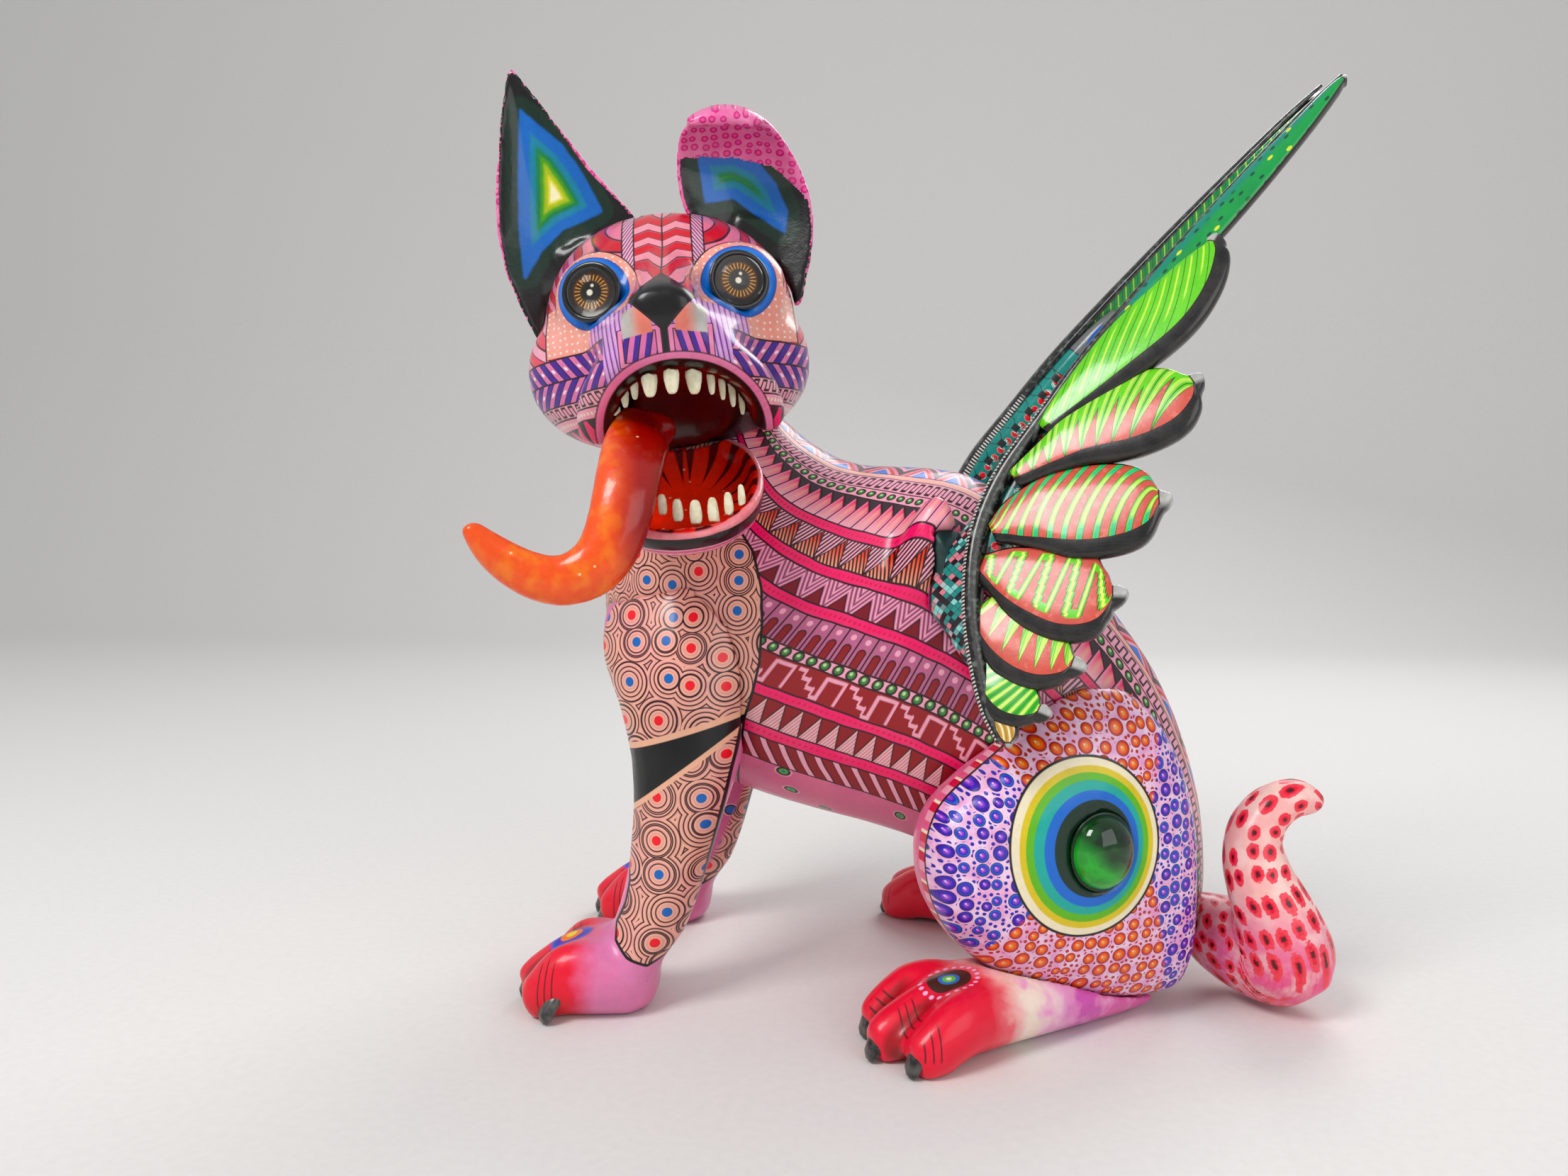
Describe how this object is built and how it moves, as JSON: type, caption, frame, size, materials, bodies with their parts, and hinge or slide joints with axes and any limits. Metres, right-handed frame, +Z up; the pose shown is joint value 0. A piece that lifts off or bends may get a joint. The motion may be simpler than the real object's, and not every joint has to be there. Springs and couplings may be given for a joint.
{
  "type": "winged dog alebrije figure",
  "caption": "Carved and painted wooden figure of a sitting winged dog with open mouth, long tongue, glass eyes and plug-in wings, ears and tail.",
  "frame": {"origin": "middle of the whole figure's bounding box in plan, on the floor it stands on", "axes": "+Z up; the body faces -X, its left flank faces -Y and the head is turned to look toward -Y"},
  "size_m": [0.2742, 0.1864, 0.3082],
  "materials": {
    "body_paint": "painted and varnished",
    "gem_glass": "polished dark green glass",
    "bare_wood": "bare turned dowel",
    "mouth_paint": "painted and varnished",
    "eye_glass": "polished domed glass over a brown iris",
    "ear_paint": "painted and varnished",
    "wing_paint": "painted and varnished",
    "tail_paint": "painted and varnished",
    "tooth_paint": "painted and varnished"
  },
  "bodies": {
    "figure": {"torso": "body_paint", "front_leg_left": "body_paint", "front_leg_right": "body_paint", "haunch_left": "body_paint", "haunch_right": "body_paint", "hind_foot_left": "body_paint", "hind_foot_right": "body_paint", "haunch_gem_left": "gem_glass", "haunch_gem_right": "gem_glass", "neck_dowel": "bare_wood", "head": "body_paint", "lower_jaw": "mouth_paint", "tongue": "mouth_paint", "eye_left": "eye_glass", "eye_right": "eye_glass", "upper_tooth_01": "tooth_paint", "upper_tooth_02": "tooth_paint", "upper_tooth_03": "tooth_paint", "upper_tooth_04": "tooth_paint", "upper_tooth_05": "tooth_paint", "upper_tooth_06": "tooth_paint", "upper_tooth_07": "tooth_paint", "upper_tooth_08": "tooth_paint", "upper_tooth_09": "tooth_paint", "upper_tooth_10": "tooth_paint", "lower_tooth_1": "tooth_paint", "lower_tooth_2": "tooth_paint", "lower_tooth_3": "tooth_paint", "lower_tooth_4": "tooth_paint", "lower_tooth_5": "tooth_paint", "lower_tooth_6": "tooth_paint"},
    "left_wing": {"wing_left": "wing_paint"},
    "right_wing": {"wing_right": "wing_paint"},
    "left_ear": {"ear_left": "ear_paint"},
    "right_ear": {"ear_right": "ear_paint"},
    "tail_piece": {"tail": "tail_paint"}
  },
  "joints": [
    {"name": "wing_left_pull", "type": "slide", "parent": "figure", "child": "left_wing", "axis": [0.4504, -0.8408, 0.3003], "range_m": [0, 0.022]},
    {"name": "wing_right_pull", "type": "slide", "parent": "figure", "child": "right_wing", "axis": [0.4492, 0.8524, 0.2677], "range_m": [0, 0.022]},
    {"name": "ear_left_pull", "type": "slide", "parent": "figure", "child": "left_ear", "axis": [0.2431, 0.0429, 0.9691], "range_m": [0, 0.026]},
    {"name": "ear_right_pull", "type": "slide", "parent": "figure", "child": "right_ear", "axis": [-0.4051, -0.0714, 0.9115], "range_m": [0, 0.026]},
    {"name": "tail_pull", "type": "slide", "parent": "figure", "child": "tail_piece", "axis": [1, 0, 0], "range_m": [0, 0.022]}
  ]
}
